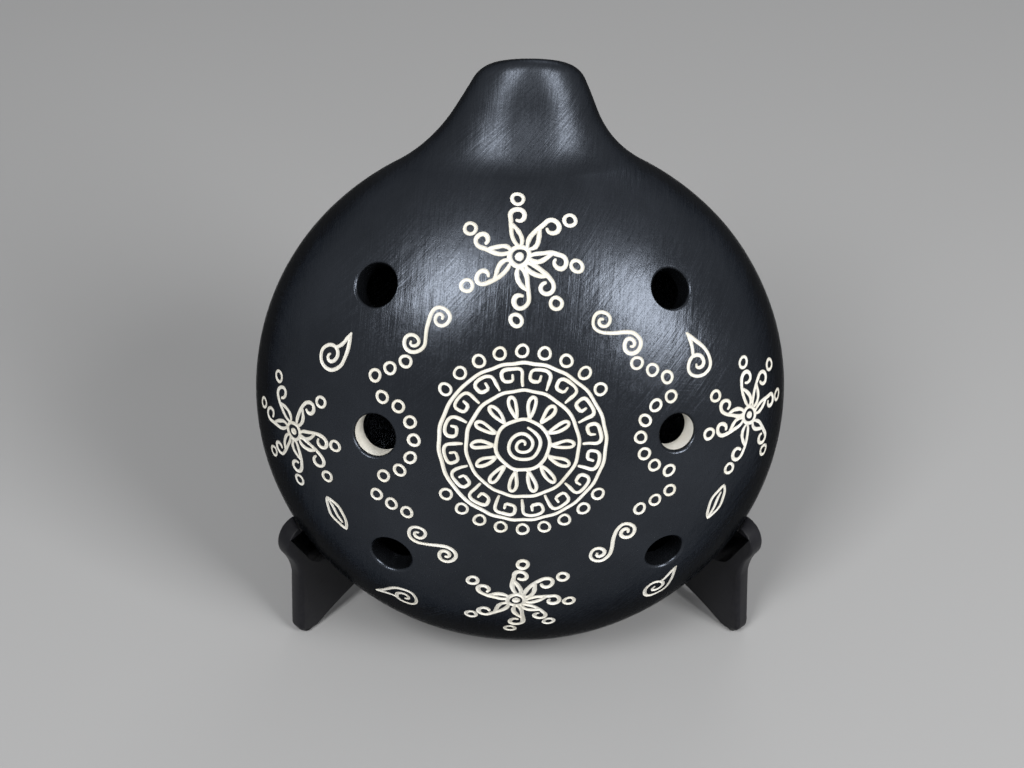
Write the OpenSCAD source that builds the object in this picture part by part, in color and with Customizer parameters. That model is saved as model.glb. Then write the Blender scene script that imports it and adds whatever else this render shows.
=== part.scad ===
// Six-hole clay ocarina resting in a low folding stand.
// Millimetres. +Z up, the finger holes face -Y, and the origin is on the
// surface the stand's feet rest on, under the middle of the round body.
// The body is an ellipsoid of revolution that leans back in the stand; its
// two shells meet at the rim, and the blowing end closes them at the top.

/* [Body] */
// Width of the round body across its rim
body_w = 130; // [80:1:160]
// Thickness of the body from front to back
body_t = 78; // [50:1:100]
// Thickness of the clay wall
wall = 5.5; // [3.5:0.1:8]
// Angle that the body leans back in the stand
lean = 20; // [0:1:30]
// Height of the body's lowest point above the floor
ground_gap = 3.6; // [1:0.1:20]
// Radius of the clay coil pressed into the seam inside
coil_r = 3; // [1:0.1:5]
// Distance that the coil stops short of the blowing end
coil_gap = 4; // [1:0.1:10]

/* [Blowing end] */
// Length of the blowing end past the rim of the round body
neck_l = 15.9; // [5:0.1:40]
// Half width where the sides of the blowing end would meet its end
mouth_half = 11.2; // [8:0.1:20]
// Taper of each side of the blowing end, from its axis
mouth_taper = 28; // [5:1:40]
// Radius of the rounded lip corners
lip_r = 6.8; // [1:0.1:10]
// Radius of the hollow curve between body and blowing end
neck_fillet = 30; // [10:1:60]
// Thickness of the blowing end as a share of its width
mouth_flat = 0.8; // [0.5:0.01:1]
// Backward slope of the blowing end's face
mouth_slope = 19; // [0:1:25]
// Rise of the domed end face over the lips
mouth_crown = 0.9; // [0:0.1:3]
// Lean of the hand-made blowing end to the right
mouth_shift = 2.1; // [0:0.1:4]

/* [Windway and voicing] */
// Width of the windway
windway_w = 12; // [6:0.5:20]
// Height of the windway
windway_h = 1.8; // [1:0.1:4]
// Distance of the windway's mouth behind the middle plane
windway_in = 0.8; // [-3:0.1:5]
// Thickness of the clay from the middle of the windway's exit to the back
roof_t = 4.9; // [3:0.1:8]
// Length of the sound window along the body
window_l = 7; // [4:0.1:12]
// Length of the sloped ramp below the sharp edge
ramp_l = 12; // [6:0.5:25]

/* [Finger holes] */
// Upper left hole: across, up from the middle, diameter
hole_ul = [-32.8, 35.2, 10]; // [-60:0.1:60]
// Upper right hole: across, up from the middle, diameter
hole_ur = [34.1, 34.3, 9.2]; // [-60:0.1:60]
// Middle left hole: across, up from the middle, diameter
hole_ml = [-33.6, 1.3, 10.2]; // [-60:0.1:60]
// Middle right hole: across, up from the middle, diameter
hole_mr = [36.1, 1.7, 8.8]; // [-60:0.1:60]
// Lower left hole: across, up from the middle, diameter
hole_ll = [-30.7, -30.5, 10]; // [-60:0.1:60]
// Lower right hole: across, up from the middle, diameter
hole_lr = [34.3, -30.4, 9.4]; // [-60:0.1:60]

/* [Stand] */
// Half of the angle between the two legs
leg_angle = 43.5; // [30:1:55]
// Distance of the hinge pin behind the middle of the body
hinge_y = 38; // [20:0.5:60]
// Thickness of each wooden leg
leg_t = 4.5; // [3:0.1:8]
// Length from the hinge pin to the toe
leg_l = 81.4; // [60:0.1:100]
// Length of the flat under the toe and under the heel
foot_l = 6; // [2:0.1:12]
// Rise of the arch under the leg
arch_h = 7.5; // [2:0.1:12]
// Radius of the round hook that holds the body at the front
hook_r = 5.6; // [5:0.1:14]
// Height of the middle of the hook
hook_z = 31.9; // [25:0.1:50]
// Reach of the hook past the toe
hook_out = 1.3; // [0:0.1:8]
// Distance of the waist behind the toe
waist_in = 1.7; // [0:0.1:6]
// Radius of the hollow between the waist and the hook
waist_r = 18; // [5:0.5:30]
// Height of the back post
post_h = 45; // [25:0.5:60]
// Width over which the post slopes down to the height of the hook
post_foot = 26; // [10:0.5:40]
// Gap between the body and the seat hollowed in the legs
seat_gap = 0.5; // [0.3:0.05:2]
// Radius of the relief notch at the foot of the hook
notch_r = 6; // [2:0.1:8]
// Distance of the relief notch behind the middle of the hook
notch_in = 6.4; // [0:0.1:12]
// Height of the middle of the relief notch
notch_z = 27.6; // [20:0.1:40]

/* [Hinge] */
// Radius of the hinge pin
pin_r = 1; // [0.6:0.05:2]
// Radial clearance of the knuckles on the pin
pin_fit = 0.05; // [0.01:0.01:0.1]
// Outer radius of the knuckles
knuckle_r = 2; // [1.5:0.05:4]
// Height of the hinge
hinge_h = 26; // [12:1:40]
// Height of the hinge's lower end above the floor
hinge_z = 5; // [1:0.5:20]
// Thickness of each hinge leaf
leaf_t = 1; // [0.5:0.1:2]
// Width of each hinge leaf
leaf_w = 11; // [6:0.5:16]
// Radius of the screw heads
screw_head_r = 2; // [1.2:0.1:3]
// Radius of the screw shanks
screw_r = 1; // [0.6:0.05:1.5]
// Length of each screw
screw_l = 4.6; // [3:0.1:6]

/* [Hidden] */
$fn = 96;
R = body_w / 2;
B = body_t / 2;
Ri = R - wall;
Bi = B - wall;
mouth_h = R + neck_l;
body_z = ground_gap + sqrt(pow(B * sin(lean), 2) + pow(R * cos(lean), 2));
steps = 36;
finger_holes = [hole_ul, hole_ur, hole_ml, hole_mr, hole_ll, hole_lr];

// Tangent points of the neck's hollow curve on the body and on the side line.
side_k = mouth_half * cos(mouth_taper) + mouth_h * sin(mouth_taper);
side_s = sqrt(pow(R + neck_fillet, 2) - pow(side_k + neck_fillet, 2));
curve_c = [(side_k + neck_fillet) * cos(mouth_taper) - side_s * sin(mouth_taper),
           (side_k + neck_fillet) * sin(mouth_taper) + side_s * cos(mouth_taper)];
joint_w = curve_c[0] * R / (R + neck_fillet);
joint_z = curve_c[1] * R / (R + neck_fillet);
side_start = curve_c - neck_fillet * [cos(mouth_taper), sin(mouth_taper)];
lip_c = [(side_k - lip_r - (mouth_h - lip_r) * sin(mouth_taper)) / cos(mouth_taper), mouth_h - lip_r];
joint_a = atan2(joint_z - curve_c[1], joint_w - curve_c[0]);
curve_end_a = mouth_taper - 180;
neck_path = concat(
    [for (i = [0:10]) let (a = joint_a + (curve_end_a - joint_a) * i / 10) curve_c + neck_fillet * [cos(a), sin(a)]],
    [for (i = [0:7]) let (a = mouth_taper + (90 - mouth_taper) * i / 7) lip_c + lip_r * [cos(a), sin(a)]],
    [for (i = [1:5]) let (q = 1 - i / 6) [q * lip_c[0], mouth_h + mouth_crown * pow(1 - q * q, 2)]]);

// Windway's exit and direction, and the sharp edge that its air meets.
windway_out = joint_w * B / R - roof_t;
windway_a = atan2(windway_out - windway_in, mouth_h - joint_z);
edge_z = joint_z - window_l;
edge_y = windway_out + window_l * tan(windway_a);
ramp_a = windway_a + 26;

// Section of the body by a plane parallel to a leg, at the distance n from the
// hinge pin: u runs out along the leg, d up from the middle of the body.
face_n = leaf_t + 0.3;
s_a = sin(leg_angle);
c_a = cos(leg_angle);
s_l = sin(lean);
c_l = cos(lean);
qa = pow(s_a / R, 2) + pow(c_a * c_l / B, 2) + pow(c_a * s_l / R, 2);
qb = c_a * c_l * s_l * (1 / (B * B) - 1 / (R * R));
qc = pow(s_l / B, 2) + pow(c_l / R, 2);
function seat_middle(n) = let (
    y = hinge_y + n * s_a,
    qd = s_a * c_a * n / (R * R) - c_a * y * (pow(c_l / B, 2) + pow(s_l / R, 2)),
    qe = y * c_l * s_l * (1 / (R * R) - 1 / (B * B)),
    qg = pow(n * c_a / R, 2) + y * y * (pow(c_l / B, 2) + pow(s_l / R, 2)),
    u = (qb * qe - qc * qd) / (qa * qc - qb * qb),
    d = (qb * qd - qa * qe) / (qa * qc - qb * qb)) [u, d, 1 - (qg + qd * u + qe * d)];
function seat_reach(k, t) = sqrt(k / (qa * pow(cos(t), 2) + 2 * qb * cos(t) * sin(t) + qc * pow(sin(t), 2))) + seat_gap;

heel_u = knuckle_r + 0.8;
edge_u = leg_l - waist_in;
hook_u = leg_l + hook_out - hook_r;
waist_z = hook_z - sqrt(pow(hook_r + waist_r, 2) - pow(edge_u + waist_r - hook_u, 2));
arch_r = (pow((leg_l - heel_u) / 2 - foot_l, 2) + arch_h * arch_h) / (2 * arch_h);
post_w = 6.2;
// Round top of the post, and the slope that touches it and runs down the leg.
post_c = [heel_u + post_w / 2, post_h - post_w / 2];
post_p = [heel_u + post_foot, hook_z];
post_t = let (v = post_p - post_c, a = atan2(v[1], v[0]) + acos(post_w / 2 / norm(v)))
    post_c + post_w / 2 * [cos(a), sin(a)];
knuckle_h = hinge_h / 5;
screw_u = heel_u + leaf_w * 0.58;

// Every separate part.

// Places the ocarina's own axes, with z along its length, in the stand.
module lean_back() translate([0, 0, body_z]) rotate([-lean, 0, 0]) children();

// Places a leg's axes: x out along the leg, y to its outer side, z up.
module on_left() translate([0, hinge_y, 0]) rotate([0, 0, 270 - leg_angle]) mirror([0, 1, 0]) children();
module on_right() mirror([1, 0, 0]) on_left() children();

// Half of the ellipse that the shells turn from, about its short axis.
module half_ellipse(a, b) polygon(concat([[0, -b], [0, b]], [for (i = [1:steps * 2 - 1]) let (t = 90 - 90 * i / steps) [a * cos(t), b * sin(t)]]));

// Ellipsoid of revolution about y.
module ellipsoid(a, b) rotate([90, 0, 0]) rotate_extrude($fn = 180) half_ellipse(a, b);

// Bore of a finger hole, square to the front surface.
module hole_bore(hole) {
    y = -B * sqrt(1 - (pow(hole[0], 2) + pow(hole[1], 2)) / (R * R));
    n = [hole[0] / (R * R), y / (B * B), hole[1] / (R * R)] / norm([hole[0] / (R * R), y / (B * B), hole[1] / (R * R)]);
    translate([hole[0], y, hole[1]]) rotate([0, acos(n[2]), atan2(n[1], n[0])])
        translate([0, 0, -2.2 * wall]) cylinder(h = 3.2 * wall, d = hole[2]);
}

// Wall of the round chamber, cut flat where the blowing end starts.
module chamber_wall() difference() {
    ellipsoid(R, B);
    ellipsoid(Ri, Bi);
    translate([-R, -R, joint_z]) cube([2 * R, 2 * R, R]);
}

// Opening from the windway's exit to the chamber, and the ramp below the edge.
module window_cut() rotate([90, 0, 90]) translate([0, 0, -windway_w / 2]) linear_extrude(windway_w)
    polygon([[Bi * 0.16, joint_z + 1], [edge_y, edge_z],
             [edge_y + 1.4 * ramp_l * sin(ramp_a), edge_z - 1.4 * ramp_l * cos(ramp_a)],
             [edge_y + 2.2 * ramp_l, joint_z + 1]]);

// Solid of the blowing end: oval rings that grow out of the body's oval.
module neck_solid() {
    m = 72;
    last = len(neck_path) - 1;
    flat0 = B / R;
    ring = [for (p = neck_path) let (t = min(1, (p[1] - joint_z) / (mouth_h - joint_z)), e = t * t * (3 - 2 * t))
        for (k = [0:m - 1]) let (y = p[0] * (flat0 + (mouth_flat - flat0) * e) * sin(360 * k / m))
            [p[0] * cos(360 * k / m) + mouth_shift * e, y, p[1] - y * tan(mouth_slope) * e]];
    polyhedron(ring, concat(
        [[for (k = [0:m - 1]) k]],
        [for (j = [0:last - 1]) for (k = [0:m - 1]) let (a = j * m + k, b = j * m + (k + 1) % m) [a, a + m, b + m, b]],
        [[for (k = [m - 1:-1:0]) last * m + k]]));
}

// Axes at the windway's mouth, with z up along it and y to the back.
module at_windway() translate([0, windway_in, mouth_h]) rotate([windway_a, 0, 0]) children();

// Space between the windway's side walls, which follow the lean of the end.
module windway_sides() rotate([90, 0, 0]) translate([0, 0, -R]) linear_extrude(2 * R)
    polygon([for (p = [[-0.5, joint_z - wall], [0.5, joint_z - wall], [0.5, mouth_h + R / 2], [-0.5, mouth_h + R / 2]])
        [p[0] * windway_w + mouth_shift * (p[1] - joint_z) / (mouth_h - joint_z), p[1]]]);

module front_shell() color([0.1, 0.11, 0.13]) lean_back() difference() {
    chamber_wall();
    translate([-R, 0, -R]) cube([2 * R, R, 2 * R]);
    for (hole = finger_holes) hole_bore(hole);
}

module back_shell() color([0.12, 0.13, 0.15]) lean_back() difference() {
    chamber_wall();
    translate([-R, -R, -R]) cube([2 * R, R, 2 * R]);
    window_cut();
}

module seam_coil() color([0.9, 0.87, 0.8]) lean_back() difference() {
    intersection() {
        rotate([90, 0, 0]) rotate_extrude($fn = 180) translate([Ri, 0]) circle(coil_r, $fn = 32);
        ellipsoid(Ri, Bi);
    }
    translate([-R, -R, joint_z - coil_gap]) cube([2 * R, 2 * R, R]);
}

module windway_block() color([0.11, 0.12, 0.14]) lean_back() difference() {
    neck_solid();
    at_windway() translate([-R, windway_h / 2, -R]) cube([2 * R, R, 2 * R]);
    intersection() {
        at_windway() translate([-R, -windway_h / 2, -R]) cube([2 * R, windway_h + 1, 2 * R]);
        windway_sides();
    }
}

module windway_roof() color([0.13, 0.14, 0.16]) lean_back() difference() {
    neck_solid();
    at_windway() translate([-R, windway_h / 2 - R, -R]) cube([2 * R, R, 2 * R]);
}

// Side view of a leg: heel and post at the hinge, arch, toe and hook.
module leg_profile() difference() {
    union() {
        translate([heel_u, 0]) square([edge_u - heel_u, hook_z]);
        polygon([[heel_u, 0], [post_p[0], 0], post_p, post_t, post_c, [heel_u, post_c[1]]]);
        translate(post_c) circle(post_w / 2, $fn = 48);
        polygon([[edge_u - 3, 0], [leg_l - 2, 0], [leg_l, 2], [edge_u, waist_z], [edge_u - 3, waist_z]]);
        translate([hook_u, hook_z]) circle(hook_r);
        difference() {
            polygon([[edge_u - 4, waist_z], [edge_u, waist_z], [edge_u + waist_r, waist_z],
                     [hook_u, hook_z], [edge_u - 4, hook_z]]);
            translate([edge_u + waist_r, waist_z]) circle(waist_r);
        }
    }
    translate([hook_u - notch_in, notch_z]) circle(notch_r, $fn = 48);
    translate([(leg_l + heel_u) / 2, arch_h - arch_r]) circle(arch_r, $fn = 180);
}

// Room for the body in a leg, hollowed to fit it through the leg's thickness.
module seat() {
    m = 120;
    last = 4;
    ring = [for (j = [0:last]) let (n = face_n - 1 + (leg_t + 2) * j / last, c = seat_middle(n))
        for (k = [0:m - 1]) let (t = -360 * k / m, q = seat_reach(c[2], t))
            [c[0] + q * cos(t), n, body_z + c[1] + q * sin(t)]];
    polyhedron(ring, concat(
        [[for (k = [0:m - 1]) k]],
        [for (j = [0:last - 1]) for (k = [0:m - 1]) let (a = j * m + k, b = j * m + (k + 1) % m) [a, a + m, b + m, b]],
        [[for (k = [m - 1:-1:0]) last * m + k]]));
}

module screw_holes() for (z = [0.2, 0.8])
    translate([screw_u, 0, hinge_z + hinge_h * z]) rotate([-90, 0, 0]) cylinder(h = face_n - leaf_t + screw_l, r = screw_r, $fn = 32);

module leg() difference() {
    translate([0, face_n + leg_t, 0]) rotate([90, 0, 0]) linear_extrude(leg_t) leg_profile();
    seat();
    screw_holes();
}

// Flat leaf with its share of the five knuckles (0 = even, 1 = odd).
module leaf(share) difference() {
    union() {
        translate([heel_u, face_n - leaf_t, hinge_z]) cube([leaf_w, leaf_t, hinge_h]);
        for (i = [share:2:4]) {
            translate([0, 0, hinge_z + i * knuckle_h + 0.15]) cylinder(h = knuckle_h - 0.3, r = knuckle_r, $fn = 48);
            translate([0, face_n - leaf_t, hinge_z + i * knuckle_h + 0.15]) cube([heel_u + 1, leaf_t, knuckle_h - 0.3]);
        }
    }
    translate([0, 0, hinge_z - 1]) cylinder(h = hinge_h + 2, r = pin_r + pin_fit, $fn = 48);
    for (z = [0.2, 0.8]) translate([screw_u, face_n - leaf_t, hinge_z + hinge_h * z]) rotate([-90, 0, 0]) screw_body(0.02);
}

// Countersunk screw along z from the leaf's face, grown all over by g.
module screw_body(g) rotate_extrude($fn = 32)
    polygon([[0, -g], [screw_head_r + g, -g], [screw_head_r + g, 0.15], [screw_r + g, leaf_t], [screw_r + g, screw_l], [0, screw_l + g]]);

module screw(z) translate([screw_u, face_n - leaf_t, hinge_z + hinge_h * z]) rotate([-90, 0, 0]) difference() {
    screw_body(0);
    translate([-screw_head_r - 1, -0.3, -1]) cube([2 * screw_head_r + 2, 0.6, 1.4]);
}

module left_leg() color([0.09, 0.09, 0.1]) on_left() leg();
module right_leg() color([0.09, 0.09, 0.1]) on_right() leg();
module left_leaf() color([0.72, 0.58, 0.3]) on_left() leaf(0);
module right_leaf() color([0.72, 0.58, 0.3]) on_right() leaf(1);
module hinge_pin() color([0.7, 0.7, 0.68]) translate([0, hinge_y, hinge_z - 0.4]) cylinder(h = hinge_h + 0.8, r = pin_r, $fn = 48);
module left_upper_screw() color([0.75, 0.62, 0.34]) on_left() screw(0.8);
module left_lower_screw() color([0.75, 0.62, 0.34]) on_left() screw(0.2);
module right_upper_screw() color([0.75, 0.62, 0.34]) on_right() screw(0.8);
module right_lower_screw() color([0.75, 0.62, 0.34]) on_right() screw(0.2);

front_shell();
back_shell();
seam_coil();
windway_block();
windway_roof();
left_leg();
right_leg();
left_leaf();
right_leaf();
hinge_pin();
left_upper_screw();
left_lower_screw();
right_upper_screw();
right_lower_screw();
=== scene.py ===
"""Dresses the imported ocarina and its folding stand: coated clay with scratched ornament, painted wood, aged brass.

All shapes are worked out in millimetres in the ocarina's own axes (x across, y to the back, z along its
length), then placed in the row frame in metres.
"""

import bmesh
import bpy
import numpy as np
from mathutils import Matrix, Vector
from mathutils.geometry import delaunay_2d_cdt


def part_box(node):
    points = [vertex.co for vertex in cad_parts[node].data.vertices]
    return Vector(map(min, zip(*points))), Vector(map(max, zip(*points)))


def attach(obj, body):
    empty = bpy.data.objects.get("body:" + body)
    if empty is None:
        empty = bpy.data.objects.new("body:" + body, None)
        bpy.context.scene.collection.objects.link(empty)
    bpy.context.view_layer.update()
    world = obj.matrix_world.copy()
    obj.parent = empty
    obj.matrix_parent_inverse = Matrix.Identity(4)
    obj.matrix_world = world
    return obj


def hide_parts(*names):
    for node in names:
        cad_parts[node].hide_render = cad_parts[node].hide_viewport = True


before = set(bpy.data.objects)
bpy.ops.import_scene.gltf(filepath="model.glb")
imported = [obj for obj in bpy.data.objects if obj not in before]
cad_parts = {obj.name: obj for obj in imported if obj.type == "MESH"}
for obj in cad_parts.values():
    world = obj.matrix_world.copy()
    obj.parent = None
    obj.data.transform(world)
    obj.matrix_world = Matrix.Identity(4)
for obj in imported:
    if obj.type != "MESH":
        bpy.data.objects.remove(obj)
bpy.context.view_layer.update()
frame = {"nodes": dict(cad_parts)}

bl_info = {
    "name": "Clay ocarina dresser",
    "version": (1, 0, 0),
    "blender": (4, 5, 0),
    "location": "View3D > Sidebar > Ocarina",
    "description": "Makes the coated clay body, its scratched ornament, the folding stand and a plain stage",
    "category": "Object",
}

MM = 0.001
SHELL_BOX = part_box("front_shell")
BODY_WIDTH = (SHELL_BOX[1][0] - SHELL_BOX[0][0]) / MM
BODY_MIDDLE = (0.0, 0.0, 66.12)

# form, in millimetres
FURROW_MIDDLE, FURROW_REACH = (2.6, 71.0), (5.0, 7.5)  # (across, along) of the thumbed hollow in the neck
COLUMNS, ROWS = 240, 106       # skin grid: columns round the long axis, rows from the lowest point to the neck
PATCH = (7, 1, 5, 6)           # rows and columns of the front skin that stay plain round the ornament
STEP = 0.5                     # between points along a scratched line
BORE_DEPTH, BORE_SIDES = 13.0, 72
WINDOW_HALF = 6.0              # half width of the sound window and of the windway
WINDWAY_HALF, WINDWAY_LENGTH, WINDWAY_START = 0.9, 34, 6
EDGE_BELOW, RAMP_TILT, RAMP_LENGTH, WINDOW_OUT = 7, np.radians(26), 16.8, 26.4
LEG_ROUNDING = 0.0013          # metres

# finish, in metres
NECK_HEIGHTS, NECK_DULLNESS = (0.110, 0.125), 0.14  # between these heights the coat turns duller
MARK_DEPTH, STROKE_DEPTH, GRAIN_DEPTH, TONE_DEPTH = 0.00005, 0.00016, 0.00002, 0.0007

# stage, in metres
FILL = 0.50                    # share of the backdrop's light that falls on matt surfaces
FLOOR_HALF, FLOOR_POINTS, FLOOR_FADE = 2.0, 40, (0.42, 0.95)
LAMP_AIM = (0, 0, 0.066)
LAMPS = (                      # name, size, power in watts, way from the aim, distance
    ("key", (0.36, 0.46), 6.6, (-0.37, -0.56, 0.745), 1.1),
    ("right", (0.41, 0.54), 8.4, (0.62, -0.54, 0.57), 1.1),
    ("rear", (0.5, 0.3), 1.2, (0.2, 0.7, 0.7), 1.2),
)


# ---------------------------------------------------------------- settings

def length(name, text, value):
    return bpy.props.FloatProperty(name=name, description=text, default=value * MM, subtype="DISTANCE",
                                   unit="LENGTH", precision=5)


def angle(name, text, degrees):
    return bpy.props.FloatProperty(name=name, description=text, default=np.radians(degrees), subtype="ANGLE",
                                   unit="ROTATION")


def share(name, text, value, low=0, high=1):
    return bpy.props.FloatProperty(name=name, description=text, default=value, min=low, max=high)


def colour(name, text, value):
    return bpy.props.FloatVectorProperty(name=name, description=text, default=value, size=3, min=0, max=1,
                                         subtype="COLOR")


class BodySettings(bpy.types.PropertyGroup):
    """Sizes of the clay body and its blowing end."""

    width: length("Width", "Width of the round body", BODY_WIDTH)
    thickness: length("Thickness", "Front to back", 78)
    wall: length("Wall", "Thickness of the clay", 5.5)
    lean: angle("Lean", "Backward lean in the stand", 20)
    mouth_height: length("Mouth height", "From the middle of the body to the lips of the blowing end", 80.9)
    mouth_half: length("Mouth half width", "Where the sides would meet the end", 11.2)
    taper: angle("Taper", "Taper of each side of the blowing end", 28)
    lip: length("Lip", "Rounding of the lip corners", 6.8)
    fillet: length("Neck curve", "Hollow curve between body and blowing end", 30)
    flat: share("Flatness", "Thickness of the blowing end as a share of its width", 0.8, 0.4)
    slope: angle("Mouth slope", "Backward slope of the blowing end's face", 19)
    crown: length("Crown", "Rise of the domed end face", 0.9)
    shift: length("Shift", "Lean of the hand-made blowing end to the right", 2.1)
    windway_in: length("Windway mouth", "Distance of the windway's mouth behind the middle plane", 0.8)
    roof: length("Roof", "Clay between the windway's exit and the back", 4.9)
    furrow: length("Furrow", "Depth of the thumbed hollow down the neck", 0.65)
    unevenness: length("Unevenness", "How far the hand-made surface dips under its true form", 0.16)
    rim: length("Hole rim", "Softened edge of the finger holes", 0.9)


class OrnamentSettings(bpy.types.PropertyGroup):
    """Lines scratched through the coat."""

    line: length("Line width", "Width of a scratched line", 0.86)
    depth: length("Depth", "Depth of a scratched line", 0.34)
    wander: share("Wander", "How unevenly the hand scratched", 0.15, 0, 0.5)


class FinishSettings(bpy.types.PropertyGroup):
    """Colours and finishes."""

    coat: colour("Coat", "Black burnished coat", (0.041, 0.046, 0.055))
    clay: colour("Clay", "Pale clay under the coat", (0.86, 0.845, 0.79))
    paint: colour("Paint", "Black paint of the stand", (0.0040, 0.0040, 0.0058))
    brass: colour("Brass", "Aged brass of the hinge", (0.55, 0.40, 0.17))
    coat_roughness: share("Coat roughness", "Sheen of the burnished coat", 0.23)


class StageSettings(bpy.types.PropertyGroup):
    """Floor, light and camera."""

    floor: colour("Floor", "Plain pale floor", (0.45, 0.45, 0.45))
    backdrop: colour("Backdrop", "Plain background that the far floor passes into", (0.41, 0.415, 0.425))
    distance: length("Camera distance", "From the middle of the body", 421.5)
    aim_side: length("Camera aside", "Camera's shift to the right", -1.98)
    aim_rise: length("Camera rise", "Camera's shift upwards in its own plane", 2.25)
    elevation: angle("Elevation", "Camera angle above the horizon", 39)
    lens: bpy.props.FloatProperty(name="Lens", description="Focal length on a 36 mm sensor", default=60.0,
                                  min=10, unit="CAMERA")


# ---------------------------------------------------------------- form of the body

class BodyForm:
    """The outer skin as a function of path length s, from the lowest point up the side to the blowing end,
    and angle a round the long axis."""

    def __init__(self, b):
        self.R, self.B, self.wall = b.width / MM / 2, b.thickness / MM / 2, b.wall / MM
        self.lean, self.slope, self.flat = b.lean, b.slope, b.flat
        self.crown, self.shift = b.crown / MM, b.shift / MM
        self.furrow, self.uneven, self.rim = b.furrow / MM, b.unevenness / MM, b.rim / MM
        self.H, self.t, self.lip, self.F = b.mouth_height / MM, b.taper, b.lip / MM, b.fillet / MM
        half, c, q = b.mouth_half / MM, np.cos(self.t), np.sin(self.t)
        k = half * c + self.H * q
        side = np.sqrt((self.R + self.F) ** 2 - (k + self.F) ** 2)
        self.c = np.array([(k + self.F) * c - side * q, (k + self.F) * q + side * c])
        self.joint = self.c * self.R / (self.R + self.F)
        self.start = self.c - self.F * np.array([c, q])
        self.lc = np.array([(k - self.lip - (self.H - self.lip) * q) / c, self.H - self.lip])
        self.a0 = np.arctan2(self.joint[1] - self.c[1], self.joint[0] - self.c[0])
        end = self.lc + self.lip * np.array([c, q])
        lengths = [self.R * (np.arcsin(self.joint[1] / self.R) + np.pi / 2),
                   self.F * (self.a0 - (self.t - np.pi)), np.hypot(*(end - self.start)),
                   self.lip * (np.pi / 2 - self.t), self.lc[0]]
        self.s = np.cumsum(lengths)
        self.windway_in = b.windway_in / MM
        self.windway_out = self.joint[0] * self.B / self.R - b.roof / MM

    def path(self, s):
        """(half width, height) at path length s: circle, hollow arc, straight side, lip arc, domed end."""
        u = [s / self.R - np.pi / 2, self.a0 - (s - self.s[0]) / self.F, s - self.s[1],
             self.t + (s - self.s[2]) / self.lip, s - self.s[3]]
        w = [self.R * np.cos(u[0]), self.c[0] + self.F * np.cos(u[1]), self.start[0] - u[2] * np.sin(self.t),
             self.lc[0] + self.lip * np.cos(u[3]), self.lc[0] - u[4]]
        z = [self.R * np.sin(u[0]), self.c[1] + self.F * np.sin(u[1]), self.start[1] + u[2] * np.cos(self.t),
             self.lc[1] + self.lip * np.sin(u[3]), self.H + self.crown * (1 - (w[4] / self.lc[0]) ** 2) ** 2]
        where = [s < limit for limit in self.s[:4]]
        return np.select(where, w[:4], w[4]), np.select(where, z[:4], z[4])

    def ease(self, z):
        """0 on the round body to 1 at the blowing end, and the thickness share that goes with it."""
        e = np.clip((z - self.joint[1]) / (self.H - self.joint[1]), 0, 1)
        e = e * e * (3 - 2 * e)
        return e, self.B / self.R + (self.flat - self.B / self.R) * e

    def skin(self, s, a):
        """Point at path length s and angle a (0 in front): an oval ring of the path's half width, whose
        thickness share and place across ease from the body's to the blowing end's. The neck has a thumbed
        furrow, and three slow waves dip the surface a little, as hands leave it."""
        w, z = self.path(s)
        e, flat = self.ease(z)
        x, y = w * np.sin(a) + self.shift * e, -w * flat * np.cos(a)
        z = z - y * np.tan(self.slope) * e
        (fx, fz), (rx, rz) = FURROW_MIDDLE, FURROW_REACH
        hollow = self.furrow * np.exp(-(((x - fx) / rx) ** 2)) * np.exp(-(((z - fz) / rz) ** 2)) * (y < 0)
        waves = (np.sin(0.11 * x + 0.07 * z + 1.0) + np.sin(-0.08 * x + 0.13 * z + 0.09 * y + 2.2)
                 + np.sin(0.17 * x - 0.05 * z - 0.12 * y + 4.0)) / 6 + 0.5
        dip = self.uneven * waves
        r = np.sqrt(x * x + y * y + z * z) + 1e-9
        return np.stack([x - dip * x / r, y - dip * y / r + hollow, z - dip * z / r], -1)

    def slopes(self, s, a, h=1e-3):
        """Central differences of the skin along s and along a, twice h apart."""
        return self.skin(s + h, a) - self.skin(s - h, a), self.skin(s, a + h) - self.skin(s, a - h)

    def normal(self, s, a):
        """Outward normal, from the skin's slopes."""
        along, round_it = self.slopes(s, a)
        n = np.cross(round_it, along)
        size = np.linalg.norm(n, axis=-1, keepdims=True)
        pole = np.zeros_like(n)
        pole[..., 2] = np.where(s < self.s[0] / 2, -1, 1)
        return np.where(size > 1e-9, n / np.maximum(size, 1e-12), pole)

    def turn(self, n):
        """Directions in the ocarina's axes, leant back as the stand holds them."""
        c, q = np.cos(self.lean), np.sin(self.lean)
        return np.stack([n[..., 0], n[..., 1] * c + n[..., 2] * q, n[..., 2] * c - n[..., 1] * q], -1)

    def place(self, p):
        """Ocarina axes in millimetres to the row frame in metres."""
        return (self.turn(p) + np.array(BODY_MIDDLE)) * MM

    def unplace(self, p):
        """Row frame in metres back to the ocarina's axes in millimetres."""
        c, q = np.cos(self.lean), np.sin(self.lean)
        d = p / MM - np.array(BODY_MIDDLE)
        return np.stack([d[..., 0], d[..., 1] * c - d[..., 2] * q, d[..., 1] * q + d[..., 2] * c], -1)

    def tangent_frame(self, x, z):
        """Point of the front of the ellipsoid above (x, z), its normal, and right and up along the surface."""
        y = -self.B * np.sqrt(1 - (x * x + z * z) / self.R ** 2)
        p = np.array([x, y, z])
        n = p / np.array([self.R, self.B, self.R]) ** 2
        n /= np.linalg.norm(n)
        up = np.array([0, 0, 1.0]) - n[2] * n
        up /= np.linalg.norm(up)
        return p, n, np.cross(up, n), up

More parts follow.
